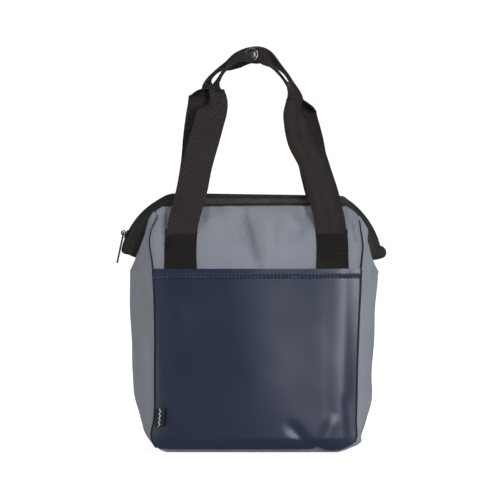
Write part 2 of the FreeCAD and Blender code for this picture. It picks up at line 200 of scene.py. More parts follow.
def mesh_piece(name, points, faces, material, sharp=40, uvs=None):
    """A smooth mesh piece from points in mm, with edges sharp past an angle and uvs in metres."""
    mesh = bpy.data.meshes.new(name)
    mesh.from_pydata([tuple(p) for p in np.asarray(points, float) * MM], [], [tuple(f) for f in faces])
    if uvs is not None:
        layer = mesh.uv_layers.new(name="cloth")
        corners = np.zeros(len(mesh.loops), int)
        mesh.loops.foreach_get("vertex_index", corners)
        layer.data.foreach_set("uv", np.asarray(uvs, float)[corners].ravel())
    mesh.validate()
    mesh.shade_smooth()
    mesh.set_sharp_from_angle(angle=math.radians(sharp))
    mesh.materials.append(material)
    piece = bpy.data.objects.new(name, mesh)
    scene.collection.objects.link(piece)
    return piece


def grid_faces(rows, columns, offset=0, flip=False):
    """Quads of a grid of points."""
    faces = []
    for r in range(rows - 1):
        for c in range(columns - 1):
            a = offset + r * columns + c
            quad = (a, a + 1, a + columns + 1, a + columns)
            faces.append(quad[::-1] if flip else quad)
    return faces


def ring_faces(rings, sides, offset=0, flip=False):
    """Quads between closed rings of points, with a face over each end."""
    last = offset + (rings - 1) * sides
    faces = [tuple(range(offset, offset + sides))[::-1], tuple(range(last, last + sides))]
    for low in range(offset, last, sides):
        for c in range(sides):
            d = (c + 1) % sides
            faces.append((low + c, low + d, low + sides + d, low + sides + c))
    return [face[::-1] for face in faces] if flip else faces


def cloth_lengths(grid):
    """Distances along each row and each column of a grid, in metres, as (u, v) pairs."""
    along_row = np.linalg.norm(np.diff(grid, axis=1), axis=2)
    along_column = np.linalg.norm(np.diff(grid, axis=0), axis=2)
    u = np.concatenate([np.zeros((len(grid), 1)), np.cumsum(along_row, axis=1)], 1)
    u -= u[:, -1:] / 2
    v = np.concatenate([np.zeros((1, grid.shape[1])), np.cumsum(along_column, axis=0)], 0)
    return np.stack([u, v], -1) * MM


def cloth(name, grid, thick, material, sharp=40):
    """A closed sheet of fabric: the grid is its outer face, and the inner face lies thick behind it."""
    grid = np.asarray(grid, float)
    rows, columns = grid.shape[:2]
    inner = grid - grid_normals(grid) * np.asarray(thick)[..., None]
    count = rows * columns
    faces = grid_faces(rows, columns) + grid_faces(rows, columns, count, flip=True)
    index = np.arange(count).reshape(rows, columns)
    ring = [*index[0], *index[1:, -1], *index[-1, -2::-1], *index[-2:0:-1, 0]]
    faces += [(a, a + count, b + count, b) for a, b in zip(ring, ring[1:] + ring[:1])]
    uv = cloth_lengths(grid).reshape(-1, 2)
    points = np.concatenate([grid.reshape(-1, 3), inner.reshape(-1, 3)])
    return mesh_piece(name, points, faces, material, sharp, np.concatenate([uv, uv]))


def cut_size(grid):
    """Flat size, from the longest row and column, and area of the fabric in a grid, in metres."""
    grid = np.asarray(grid, float)
    lengths = cloth_lengths(grid)
    across = grid[1:, 1:] - grid[:-1, :-1]
    other = grid[1:, :-1] - grid[:-1, 1:]
    area = float(np.linalg.norm(np.cross(across, other), axis=2).sum()) / 2 * MM * MM
    height = float(np.max(lengths[-1, :, 1] - lengths[0, :, 1]))
    width = float(np.max(lengths[:, -1, 0] - lengths[:, 0, 0]))
    width = min(width, 2 * area / height)  # a slanting triangle is narrower than its base
    return (round(width, 4), round(height, 4)), min(area, round(width, 4) * round(height, 4))


def fit(piece, nodes=(), body=None, mouth=None):
    """Hides the CAD nodes that a piece stands for. It rides on a body, or, given a mouth, has its placing
    baked into its points.
    """
    if nodes:
        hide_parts(*nodes)
    if mouth:
        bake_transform(piece)
    elif body:
        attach(piece, body)
    return piece


def sheet(name, grid, material, nodes, thick=FABRIC, body="bag", mouth=None,
          sharp=40):
    """A piece of fabric in a grid's shape; the flat size that it was cut to is worked out."""
    piece = cloth(name, grid, thick, material, sharp)
    flat, area = cut_size(grid)
    return fit(piece, nodes, body, mouth)


def tube(name, path, radius, material):
    """A closed cord along a path in mm."""
    tangent = unit(np.gradient(path, axis=0))
    side = np.cross(tangent, (0.0, 1.0, 0.0))
    weak = np.linalg.norm(side, axis=1) < 0.2  # where the cord runs front to back
    side[weak] = np.cross(tangent[weak], (1.0, 0.0, 0.0))
    side = unit(side)
    other = np.cross(tangent, side)
    angles = np.linspace(0, 2 * math.pi, CORD_SIDES, endpoint=False)
    ring = side[:, None] * np.cos(angles)[None, :, None] + other[:, None] * np.sin(angles)[None, :, None]
    points = (path[:, None] + ring * radius[:, None, None]).reshape(-1, 3)
    uvs = np.stack(np.broadcast_arrays(angles[None] * np.mean(radius), run(path)[:, None]), -1)
    faces = ring_faces(len(path), CORD_SIDES)
    return mesh_piece(name, points, faces, material, 60, uvs.reshape(-1, 2) * MM)


def stitches(name, paths, out, material, pitch=3.4, share=0.62, width=0.75, lift=0.35):
    """Dashes of thread that lie on paths of points and face out."""
    points, faces = [], []
    out = unit(np.array(out, float))
    raised = out * np.array([-0.1, lift, lift, -0.1])[:, None]
    for path in paths:
        along = run(path)
        for k in range(int(along[-1] / pitch)):
            marks = np.array([0, 0.25, 0.75, 1]) * share * pitch + k * pitch
            here = np.stack([np.interp(marks, along, path[:, i]) for i in range(3)], -1)
            sideways = unit(np.cross(np.gradient(here, axis=0), out)) * (width / 2)
            faces += ring_faces(len(here), 3, len(points))
            for corners in zip(here - sideways - out * 0.3, here + raised, here + sideways - out * 0.3):
                points += corners
    return mesh_piece(name, points, faces, material, 30)


# ---- materials


def colour(code):
    """Linear colour of an sRGB hex code."""
    parts = [int(code[i : i + 2], 16) / 255 for i in (0, 2, 4)]
    return tuple(c / 12.92 if c <= 0.04045 else ((c + 0.055) / 1.055) ** 2.4 for c in parts) + (1.0,)


class Shader:
    """A principled material with short ways to add and join nodes."""

    def __init__(self, name, base, roughness, **sockets):
        self.material = bpy.data.materials.new(name)
        self.material.use_nodes = True
        self.tree = self.material.node_tree
        self.surface = self.tree.nodes["Principled BSDF"]
        self.set("Base Color", colour(base))
        self.set("Roughness", roughness)
        for socket, value in sockets.items():
            self.set(socket.replace("_", " "), value)
        self.uv = self.node("UVMap", uv_map="cloth").outputs[0]
        self.place = self.node("TexCoord").outputs["Object"]

    def set(self, socket, value):
        """Joins or sets a socket of the surface."""
        self.join(value, self.surface.inputs[socket])

    def join(self, value, socket):
        """Joins an output to a socket, or sets its value."""
        if isinstance(value, bpy.types.NodeSocket):
            self.tree.links.new(value, socket)
        else:
            socket.default_value = value

    def node(self, kind, *inputs, **settings):
        """Adds a node, and joins or sets its first inputs in order."""
        added = self.tree.nodes.new("ShaderNode" + kind)
        for key, value in settings.items():
            setattr(added, key, value)
        for value, socket in zip(inputs, added.inputs):
            if value is not None:
                self.join(value, socket)
        return added

    def math(self, operation, a, b=0.0):
        """The result of an operation on one or two values."""
        return self.node("Math", a, b, operation=operation).outputs[0]

    def across(self, per_metre=1.0):
        """Distance across the cloth and distance along it, each times a number."""
        scaled = self.node("VectorMath", self.uv, (per_metre,) * 3, operation="MULTIPLY").outputs[0]
        parts = self.node("SeparateXYZ", scaled)
        return parts.outputs[0], parts.outputs[1]

    def noise(self, per_metre, detail=3.0, rough=0.5):
        """Soft noise from 0 to 1, at so many features to the metre."""
        return self.node("TexNoise", self.place, None, per_metre, detail, rough).outputs["Fac"]

    def blend(self, amount, first, second):
        """A mix of two colours."""
        pair = [colour(value) if isinstance(value, str) else value for value in (first, second)]
        other_kinds = [None] * 5
        return self.node("Mix", amount, *other_kinds, *pair, data_type="RGBA").outputs[2]

    def spread(self, value, low, high, to_low=0.0, to_high=1.0):
        """Stretches a value from one range to another."""
        return self.node("MapRange", value, low, high, to_low, to_high).outputs[0]

    def patches(self, per_metre, low, high, most, detail=3.0, rough=0.5):
        """Soft patches of noise, from 0 at low to most at high."""
        return self.spread(self.noise(per_metre, detail, rough), low, high, 0.0, most)

    def ribs(self, value, times=1.0):
        """Even ribs from 0 to 1, one to each full turn of the value."""
        return self.spread(self.math("SINE", self.math("MULTIPLY", value, times)), -1, 1)

    def finish(self, tone, roughness, heights):
        """Joins the base colour, roughness patches (per metre, from, to) and (height, mm) bumps."""
        self.set("Base Color", tone)
        if roughness:
            per_metre, smoothest, roughest = roughness
            self.set("Roughness", self.spread(self.noise(per_metre), 0.3, 0.7, smoothest, roughest))
        normal = None
        for height, depth in heights:
            added = self.node("Bump", 1.0, depth * MM)
            self.join(height, added.inputs["Height"])
            if normal is not None:
                self.join(normal, added.inputs["Normal"])
            normal = added.outputs[0]
        self.set("Normal", normal)
        return self.material


def weave(shader, pitch):
    """A plain weave's height, and which thread is on top, for threads at a pitch in mm."""
    across, along = shader.across(math.pi / (pitch * MM))
    product = shader.math("MULTIPLY", shader.math("SINE", across), shader.math("SINE", along))
    height = shader.math("POWER", shader.math("ABSOLUTE", product), 0.6)
    return height, shader.spread(product, -0.6, 0.6)


def grey_polyester():
    """Coarse grey polyester in a plain weave, a little mottled."""
    shader = Shader("grey_polyester", "85888f", 0.8, Specular_IOR_Level=0.2)
    height, top = weave(shader, 1.15)
    threads = shader.blend(shader.math("MULTIPLY", top, 0.9), "757880", "94979e")
    # The low places between the threads are painted darker: painted shade in the weave's gaps.
    gaps = shader.blend(shader.spread(height, 0.1, 0.75), "4c4e56", threads)
    worn = shader.blend(shader.patches(22, 0.35, 0.68, 0.3, 4), gaps, "8d9097")
    tone = shader.blend(shader.patches(900, 0.3, 0.7, 0.22, 2), worn, "6c6e75")
    heights = [(shader.noise(38, 3), 0.9), (height, 0.22), (shader.noise(1600, 2), 0.05)]
    return shader.finish(tone, (60, 0.62, 0.8), heights)


def navy_satin():
    """Fine, slightly shiny navy nylon for the pocket."""
    shader = Shader("navy_satin", "161f34", 0.34, Specular_IOR_Level=0.34)
    height, top = weave(shader, 0.55)
    threads = shader.blend(top, "0d1526", "151e33")
    tone = shader.blend(shader.patches(9, 0.35, 0.65, 0.5), threads, "101830")
    return shader.finish(tone, (26, 0.31, 0.37), [(shader.noise(22, 1), 0.45), (height, 0.01)])


def black_webbing(name, dark, light):
    """Polypropylene webbing with ribs that run diagonally across it."""
    shader = Shader(name, "1f1c1b", 0.6, Specular_IOR_Level=0.12)
    across, along = shader.across(2 * math.pi / (2.1 * MM))
    ribs = shader.ribs(shader.math("ADD", along, shader.math("MULTIPLY", across, -0.55)))
    # The ribs' hollows take the dark colour and their crests the light one: painted shade and painted
    # highlight on the ribs.
    tone = shader.blend(shader.patches(45, 0.42, 0.72, 0.55, 4), shader.blend(ribs, dark, light), "262220")
    heights = [(ribs, 0.6), (shader.ribs(across, 1.7), 0.18), (shader.noise(1400, 2), 0.07)]
    return shader.finish(tone, (70, 0.5, 0.72), heights)


def black_tape(name, base, light, ribs_per_m, depth):
    """Black fabric with fine ribs across it, for the zipper panel and other trim."""
    shader = Shader(name, base, 0.66, Specular_IOR_Level=0.15)
    across, along = shader.across(2 * math.pi * ribs_per_m)
    ribs = shader.ribs(across)
    # The ribs' crests are painted towards the light colour: painted highlight on the ribs.
    toned = shader.blend(shader.math("MULTIPLY", ribs, 0.8), base, light)
    tone = shader.blend(shader.patches(55, 0.4, 0.75, 0.6, 4), toned, light)
    heights = [(shader.noise(50, 3), 0.4), (ribs, depth), (shader.ribs(along, 1.6), depth * 0.4)]
    return shader.finish(tone, (80, 0.55, 0.78), heights)


def thread(name, base):
    """Twisted sewing thread."""
    shader = Shader(name, base, 0.85, Specular_IOR_Level=0.05)
    twist = shader.node("TexWave", shader.place, 700, 2.0).outputs["Fac"]
    tone = shader.blend(shader.patches(500, 0.3, 0.7, 0.4), base, "0c0d10")
    return shader.finish(tone, None, [(twist, 0.03)])


def moulded(name, base, roughness, speckle=0.3, coat=0.0):
    """Moulded plastic or enamel with a faint grain and small scuffs."""
    shader = Shader(name, base, roughness, Coat_Weight=coat, Coat_Roughness=0.15, Specular_IOR_Level=0.35)
    tone = shader.blend(shader.patches(140, 0.56, 0.74, speckle, 5, 0.7), base, "5a5855")
    return shader.finish(tone, (220, roughness - 0.07, roughness + 0.1), [(shader.noise(900, 3), 0.03)])


def metal(name, base, roughness):
    """Plated metal with fine wear."""
    shader = Shader(name, base, roughness, Metallic=1.0)
    tone = shader.blend(shader.patches(300, 0.5, 0.75, 0.5, 5, 0.7), base, "8b8a88")
    return shader.finish(tone, (400, roughness - 0.06, roughness + 0.12), [(shader.noise(700, 3), 0.02)])


def silver_lining():
    """Wipe-clean metallised lining film, finely crinkled."""
    shader = Shader("silver_lining", "a9acb0", 0.34, Metallic=0.55)
    crinkle, fold = shader.noise(120, 5, 0.65), shader.noise(40, 3)
    shader.set("Roughness", shader.spread(crinkle, 0.3, 0.7, 0.26, 0.46))
    # The film is painted lighter on its folds' crests and darker in their hollows: painted highlight and
    # painted shade.
    tone = shader.blend(shader.spread(fold, 0.3, 0.7), "9b9ea3", "b9bcc0")
    return shader.finish(tone, None, [(fold, 1.1), (crinkle, 0.3)])


def label_weave():
    """Black woven label with a pale zigzag of thread."""
    shader = Shader("label_weave", "121214", 0.6, Specular_IOR_Level=0.2)
    across, along = shader.across(1000.0)
    wave = shader.math("SUBTRACT", shader.math("PINGPONG", along, 2.2), 1.1)
    line = shader.spread(shader.math("ABSOLUTE", shader.math("SUBTRACT", across, wave)), 0.75, 0.45)
    heights = [(weave(shader, 0.5)[0], 0.08), (line, 0.15)]
    return shader.finish(shader.blend(line, "131316", "a9aaa8"), None, heights)


SHELL = grey_polyester()
NAVY = navy_satin()
# In each webbing the dark colour is painted shade in the ribs' hollows and the light colour is a painted
# highlight on their crests.
WEBBING = black_webbing("black_webbing", "090807", "3b3532")
# A darker copy of the webbing for the anchors: painted shade. Its light colour is again a painted highlight
# on the ribs.
SHADED_WEBBING = black_webbing("shaded_webbing", "060505", "1f1b19")
# In each tape the light colour is a painted highlight on the ribs' crests, and it also tints random patches.
ZIP_FABRIC = black_tape("zip_fabric", "12110f", "57534d", 480, 0.4)
WING_FABRIC = black_tape("wing_fabric", "131211", "2e2b28", 480, 0.22)
TAPE = black_tape("zip_tape", "131211", "262422", 900, 0.12)
PIPING = black_tape("piping_cover", "121317", "1f2126", 1200, 0.08)
LABEL = label_weave()
NAVY_THREAD = thread("navy_thread", "161c30")
BLACK_THREAD = thread("black_thread", "0d0c0c")
COIL = moulded("zip_coil", "171715", 0.35)
ENAMEL = moulded("black_enamel", "0a0a0a", 0.5, 0.2)
LACQUER = moulded("dark_lacquer", "16120f", 0.34, 0.15, coat=0.3)
CHROME = metal("bright_chrome", "b4b2ae", 0.26)
LINING = silver_lining()
BOARD = moulded("base_board_plastic", "24262a", 0.55)


# ---- lower body

FLOOR_GAP = 0.5
QUILT = 42.0  # size of the lining's quilted squares
BACK_CREASES = [((-70, 150), (20, 60), 1.3, 9), ((60, 170), (30, 95), -1.2, 8)]
GUSSET_CREASES = [((-66, 20), (10, 70), 1.2, 7), ((60, 15), (5, 60), -1.2, 7),
    ((-50, 178), (-8, 120), -1.0, 7), ((40, 175), (8, 130), 0.9, 7)]


def settle(z):
    """How far the walls draw in near the rounded bottom edge."""
    return 3.2 * (1 - smooth(z, -4, 9))


def wall_grid(columns=64, rows=70):
    """Front wall from its bottom edge up to the mouth's hinge line."""
    u, z = shares(columns, rows, FLOOR_GAP, HINGE_Z)
    left, right = (follow(SEAMS[side], z) for side in SIDES)
    crown = 1.6 * np.sin(math.pi * u) * smooth(z, 0, 60)
    return np.stack([left + (right - left) * u, FRONT_Y + settle(z) - crown, z], -1)


def gusset_grid(side, columns=46, rows=70):
    """Side gusset, bulging outward at mid-depth, with a soft fold down its middle near the top."""
    t, z = np.meshgrid(np.linspace(-1, 1, columns), np.linspace(FLOOR_GAP, HINGE_Z, rows))
    seam, middle = follow(SEAMS[side], z), follow(BULGES[side], z)
    power = 2.3 - 0.95 * smooth(z, 60, HINGE_Z)
    x = seam + (middle - seam) * (1 - np.abs(t) ** power)
    y = t * (-FRONT_Y - settle(z))
    if side == "right":
        x = x + 4.5 * np.exp(-(((z - 9) / 4.5) ** 2) - ((y + 52) / 16) ** 2)  # the corner's bump
    return outward(np.stack([x, y, z], -1), side)


def wrinkled(grid, amount, size, seed):
    """A grid with soft wrinkles that fade at its edges, so that seams still meet."""
    rows, columns = grid.shape[:2]
    across, up = arch(columns) ** 0.4, arch(rows)[:, None] ** 0.4
    return push(grid, blur_noise(grid, size, seed) * amount * across * up)


def lining(place, grid, trim=2, gap=2.6, body="bag", mouth=None):
    """Quilted pad of foam and film behind a wall's grid. It stands for the wall's foam and liner."""
    inside = push(grid[trim:-trim, trim:-trim], -gap)
    waves = np.sin(cloth_lengths(inside) / MM * math.pi / QUILT)
    quilt = np.abs(waves[..., 0] * waves[..., 1]) ** 0.5
    rows, columns = inside.shape[:2]
    across, up = shares(columns, rows)
    border = np.minimum(np.minimum(up, 1 - up), np.minimum(across, 1 - across))
    thick = 1.6 + 2.8 * smooth(border, 0, 0.05) * (0.55 + 0.45 * quilt)
    pad = cloth(place + "_lining", inside, thick, LINING)
    return fit(pad, [place + "_foam", place + "_liner"], body, mouth)


def lower_body():
    """Front and back walls, side gussets and base, with their padded lining."""
    wall = wall_grid()
    back = mirror(wall)
    x, z = back[..., 0], back[..., 2]
    crown = 4.5 * arch(back.shape[1]) * np.sin(math.pi * z / HINGE_Z)
    sheet("front_wall", wall, SHELL, ["front_panel"])
    shaped = wrinkled(push(back, creases(x, z, BACK_CREASES) + crown), 1.5, 50, 3.0)
    sheet("back_wall", shaped, SHELL, ["back_panel"])
    lining("front", wall)
    lining("back", back)
    for side in SIDES:
        gusset = gusset_grid(side)
        folds = creases(gusset[..., 1], gusset[..., 2], GUSSET_CREASES)
        shaped = wrinkled(push(gusset, folds), 1.3, 42, 7.0 + SIGN[side])
        sheet(side + "_gusset_skin", shaped, SHELL, [side + "_gusset"])
        lining(side + "_gusset", gusset, trim=3)
    base()


def base():
    """Base fabric between the bottoms of the walls, its padded lining, and the stiff board."""
    rows, columns = 44, 60
    left, right = (gusset_grid(side, rows)[0] for side in SIDES)
    y = -right[:, 1]
    u = np.linspace(0, 1, columns)
    x = left[:, 0][:, None] * (1 - u) + right[::-1, 0][:, None] * u
    z = FLOOR_GAP - 0.25 * arch(columns) * arch(rows)[:, None]
    under = np.stack([x, np.broadcast_to(y[:, None], x.shape), z], -1)
    sheet("base_skin", under, SHELL, ["base_panel"])
    lining("base", under[3:-3, 3:-3] + (0, 0, 2.6), trim=1)
    low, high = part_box("base_board")
    bottom = under[4:-4, 4:-4].copy()
    bottom[..., 2] = low.z / MM
    slab = cloth("base_board_slab", bottom, (high.z - low.z) / MM, BOARD, 30)
    fit(slab, ["base_board"], "bag")


# ---- pocket, piping and label

POCKET_TOP = 189.0
HEM_LINE = 181.4
# How far the pocket stands off the wall across its width, as (x, mm)
POCKET_CROWN = [(-108, 0), (-101, 3.0), (-88, 6.4), (-62, 9.6), (-30, 11.0), (5, 11.0), (40, 9.9),
    (70, 7.6), (90, 4.8), (99, 2.0), (107, 0)]
POCKET_CREASES = [((58, 2), (30, 34), -1.5, 6), ((67, 4), (80, 40), 1.0, 7),
    ((-100, 26), (-60, 8), 0.8, 6), ((92, 60), (99, 12), -0.9, 5), ((-98, 175), (-70, 120), 0.5, 8)]


def pocket_bottom(x):
    """Height of the pocket's bottom seam, which rises at the corners and at one pucker."""
    corners = 4.6 * np.exp(-(((x + 107) / 5) ** 2)) + 5.6 * np.exp(-(((x - 102) / 9) ** 2))
    return 4.4 + corners + 2.6 * np.exp(-(((x - 63) / 4.5) ** 2)) - 1.6 * np.exp(-(((x - 80) / 10) ** 2))


def pocket_surface(x, z):
    """Depth of the pocket's outer face at a place on the front."""
    crown = follow(POCKET_CROWN, x)
    rise = smooth(z, -7, 17) * (1.04 - 0.44 * smooth(z, 60, 190))
    waves = 0.55 * np.sin(x / 17.0 + 1.3 + z / 160) * smooth(z, 5, 60)
    folds = waves + creases(x, z, POCKET_CREASES)
    return FRONT_Y - 1.3 - crown * rise - folds * smooth(108 - np.abs(x), 2, 22)


def pocket_grid(z_low, z_high, columns, rows, pucker=0.42):
    """Grid on the pocket between two heights; a low height of None starts at the bottom seam."""
    u, v = shares(columns, rows)
    x = -105 + 208 * u
    for repeat in range(3):
        bottom = pocket_bottom(x) if z_low is None else z_low
        z = bottom + (z_high - bottom) * v
        if repeat < 2:
            left, right = follow(SEAMS["left"], z) + 0.6, follow(SEAMS["right"], z) - 0.6
            x = left + (right - left) * u
    pucker = pucker * np.sin(x / 0.62) * (0.4 + 0.6 * np.sin(x / 13) ** 2)
    puckers = pucker * np.exp(-(((z - HEM_LINE) / 2.6) ** 2))
    groove = 0.5 * np.exp(-(((z - HEM_LINE) / 1.1) ** 2)) - 0.5 * np.exp(-(((z - HEM_LINE - 4) / 2.6) ** 2))
    return np.stack([x, pocket_surface(x, z) - puckers + groove, z], -1)


def pocket():
    """Full-width front pocket with its folded top hem and the hem's stitching."""
    face = pocket_grid(None, POCKET_TOP, 150, 120, pucker=0)
    sheet("pocket_sheet", face, NAVY, ["front_pocket"], 0.7)
    hem = push(pocket_grid(HEM_LINE - 1.9, POCKET_TOP + 0.7, 420, 16), 0.85)
    hem[0] += (0, 0.95, 0)  # the folded edge is pressed in
    sheet("pocket_hem_fold", hem, NAVY, ["pocket_hem"], 0.7)
    line = push(pocket_grid(HEM_LINE - 0.2, HEM_LINE + 0.2, 420, 2), 0.85)[0]
    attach(stitches("pocket_hem_stitches", [line[3:-3]], (0, -1, 0), NAVY_THREAD), "bag")


def piping():
    """Corded piping in the four side seams, and up the sides of the upper panels."""
    for place, turn in PLACES:
        for side in SIDES:
            name = f"{place}_{side}"
            z = np.concatenate([np.linspace(PIPING_FOOT[side], 20, 16), np.linspace(23, HINGE_Z + 1, 44)])
            x = follow(SEAMS[side], z) + SIGN[side] * 0.3
            lower = np.stack([x, (FRONT_Y - 0.9 + settle(z)) * turn, z], -1)
            radius = PIPING_RADIUS * (0.7 + 0.3 * smooth(z, 20, 90))
            cord = tube(name + "_piping", lower, radius, PIPING)
            fit(cord, [place + "_piping"], "bag")
            upper = (gable_lines(side, 40)[0][:-5] + (SIGN[side] * 0.3, -0.8, 0.6)) * (1, turn, 1)
            cord = tube(name + "_upper_piping", upper, 0.95 - 0.45 * np.linspace(0, 1, len(upper)), PIPING)
            fit(cord, [place + "_upper_piping"], mouth=place + "_mouth")


def label():
    """Folded woven tab sewn into the front left seam."""
    u, v = shares(12, 16)
    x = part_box("side_label")[0].x / MM + 0.4 + 9.5 * u + 1.3 * v
    z = 27.5 + 18.5 * v + 1.0 * u
    lift = 1.4 + 2.2 * np.sin(u * math.pi / 2) + 0.5 * np.sin(3 * v)
    grid = np.stack([x, pocket_surface(x, z) - lift, z], -1)
    sheet("side_tab", grid, LABEL, ["side_label"], 1.3)


# ---- upper panels and side gables

# Outlines on the front plane. An upper panel's side edges, as (height, x)
PANEL_EDGE = {
    "left": [(187, -106.2), (196, -107), (205, -108.4), (213, -109.7), (218, -110.2), (224, -109.2),
        (232, -107), (238.5, -103.8), (243.5, -101.6), (249.5, -103), (253, -98)],
    "right": [(187, 107.2), (197, 107.9), (206, 108.9), (215.6, 109.5), (222, 108.3), (228, 107),
        (236, 106.2), (244, 104.8), (250, 100.4), (255, 95)],
}
# Height of the panel's top edge across the front, as (x, height)
RIM_LINE = [(-108, 249.0), (-103.5, 251.2), (-99, 253.4), (-92, 253.7), (-60, 255.0), (0, 256.4),
    (60, 256.3), (90, 255.4), (96, 254.0), (101, 249.8), (107, 243.5)]
# A gable's edges from its foot to its corner: share, seam x, seam z, fold x, fold z, fold y
GABLE = {
    "left": [(0, -106.3, 188, -130.2, 187.6, 0), (0.2, -107.9, 201, -124.2, 201.4, -4.5),
        (0.4, -110, 215, -117.4, 217, -9), (0.55, -109.3, 223.5, -114.1, 225, -13),
        (0.7, -107.1, 232, -112.7, 234, -16.5), (0.85, -102.8, 241, -110.6, 242, -20),
        (1, -103.6, 247, -105.8, 249, -23)],
    "right": [(0, 107, 188, 125.8, 186, 0), (0.2, 108.4, 201, 119.3, 200, -4.5),
        (0.38, 109.4, 213, 115, 213.4, -9), (0.5, 108.7, 220, 112.6, 219.6, -12),
        (0.62, 107.3, 228, 115, 227.6, -15), (0.8, 106.3, 236, 111.2, 236.4, -19),
        (1, 104.4, 243.4, 106.2, 244.2, -23)],
}
PANEL_FOOT = 187.4
VALLEY_X, VALLEY_Z = 107.5, 190.5  # where a tuck meets the bag
# Creases of an upper panel on the front plane: start, end, height and width
PANEL_CREASES = [((-17, 257), (2, 190), -5.0, 6.2), ((-13, 252), (4, 192), -2.4, 2.4),
    ((-31, 256), (-16, 204), 2.4, 7), ((7, 252), (11, 196), 1.6, 6), ((-58, 257), (-54, 236), -0.9, 3),
    ((-48, 257), (-46, 230), 1.2, 5), ((54, 254), (42, 222), -3.0, 6.5), ((33, 255), (24, 205), 1.6, 8),
    ((-97, 251), (-101, 214), 1.8, 3), ((-92, 250), (-96, 220), -1.8, 3),
    ((98, 249), (100, 214), -1.9, 2.6), ((93, 251), (104, 226), 1.8, 3), ((98, 226), (108, 219), -1.4, 2),
    ((-30, 214), (25, 199), -0.8, 6)]


def on_panel(x, z):
    """The point on the upper front panel that lines up with (x, z) on the front plane."""
    lift = PANEL_SLOPE / EYE_DISTANCE
    height = (EYE_Z + (z - EYE_Z) * (1 - HINGE_Z * lift)) / (1 - (z - EYE_Z) * lift)
    return seen(x, z, panel_y(height))


def gable_lines(side, count):
    """Points up a gable's seam and up its fold."""
    rows = follow(GABLE[side], np.linspace(0, 1, count))
    return on_panel(*rows[:, :2].T), seen(*rows[:, 2:].T)


def upper_grid(columns=96, rows=46):
    """Front upper panel from its hinge line to its rim, softly creased as a slack fabric is."""
    u, v = shares(columns, rows)
    x = -106 + 213 * u
    for repeat in range(3):
        z = PANEL_FOOT + v * (follow(RIM_LINE, x) - PANEL_FOOT)
        left, right = (follow(PANEL_EDGE[side], z) for side in SIDES)
        x = left + (right - left) * u
    shape = 2.2 * np.sin(math.pi * u) * np.sin(math.pi * v) + creases(x, z, PANEL_CREASES)
    edge = np.minimum(np.minimum(u, 1 - u) / 0.02, np.minimum(v, 1 - v) / 0.05)
    return push(on_panel(x, z), shape * smooth(edge, 0, 1))


def gable_grid(side, columns=22, rows=34):
    """Front half of the gusset's top, between the panel's seam and the folded edge."""
    seam, fold = gable_lines(side, rows)
    foot = outward(gusset_grid(side, 2 * columns - 1), side)[-1, :columns]
    s = np.linspace(0, 1, rows)[:, None, None]
    t = np.linspace(0, 1, columns)[None, :, None]
    corner = (seam[-1] + fold[-1]) / 2
    flat = (1 - s) * foot[None] + s * corner
    seam_off = seam[:, None] - ((1 - s) * foot[0] + s * corner)
    fold_off = fold[:, None] - ((1 - s) * foot[-1] + s * corner)
    return outward(flat + (1 - t) * seam_off + t * fold_off, side)


def tuck_grid(side, columns=14, rows=34):
    """Front half of the part that is tucked in between the two gables."""
    fold = gable_lines(side, rows)[1]
    apex = fold[0]
    valley = apex + (np.array((SIGN[side] * VALLEY_X, 0, VALLEY_Z)) - apex) * np.linspace(0, 1, rows)[:, None]
    t = np.linspace(0, 1, columns)[None, :, None]
    return outward((fold[:, None] * (1 - t) + valley[:, None] * t)[1:], side)


def uppers():
    """Both upper panels, their linings, and the gables and tucks at the sides."""
    skin = upper_grid()
    for place, turn in PLACES:
        mouth = place + "_mouth"
        grid = facing(skin, turn)
        sheet(place + "_upper_skin", grid, SHELL, [place + "_upper_panel"], mouth=mouth)
        lining(place + "_upper", grid, gap=4.5, mouth=mouth)
        for side in SIDES:
            gable = gable_grid(side)
            puff = arch(gable.shape[1]) * arch(len(gable))[:, None]
            gable = push(gable, puff * 1.8 + blur_noise(gable, 13, 5.0) * 0.9 * puff)
            for part, shape in (("gable", gable), ("tuck", tuck_grid(side))):
                name, nodes = f"{place}_{side}_{part}", [side + "_gusset_fold"]
                sheet(name, facing(shape, turn), SHELL, nodes, 0.8, mouth=mouth)


# ---- zipper

CREST_END = 88.0  # where the straight crest gives way to the curved ends
CREST_Z = {"left": 269.0, "right": 266.4}
TEETH_Y = 1.5  # centre to a zip band's top edge
RIM_DEPTH = -21.6
RIM_SCALE = 1.0285  # how much smaller the rim looks than the front plane
TOOTH = [(-2.4, 0.25), (-2.1, 0.62), (0.1, 0.66), (0.55, 0.3)]  # a tooth's sections: distance back and radius
TOOTH_SIDES = 6
# Each zipper end's curve: centre (x, z), radius and its two angles above level
WING_ARC = {"left": (-64.4, 191.2, 81.6, 60.0, 11.2), "right": (46.8, 190.1, 88.6, 56.0, 11.0)}
# A zip end's lower edge: share, x, z on the front plane and depth
WING_EDGE = {
    "left": [(0, -86, 252.4, -21.6), (0.12, -94.5, 252.6, -21), (0.22, -99.5, 250.6, -19.5),
        (0.32, -103.4, 247, -17), (0.42, -106, 242, -14), (0.54, -108, 235, -11), (0.66, -110, 227, -8.4),
        (0.8, -112.5, 217, -6), (0.92, -117.5, 205.5, -4.4), (1, -121.5, 199.5, -3.6)],
    "right": [(0, 86, 254.2, -21.6), (0.1, 92, 254, -21), (0.2, 96, 251.4, -19.5), (0.3, 99.6, 247, -17),
        (0.42, 103.4, 241, -14.5), (0.54, 107, 234, -12), (0.66, 109.5, 227, -9.6),
        (0.8, 109.5, 218, -7.4), (0.92, 112, 206.5, -5.2), (1, 115, 199, -3.8)],
}


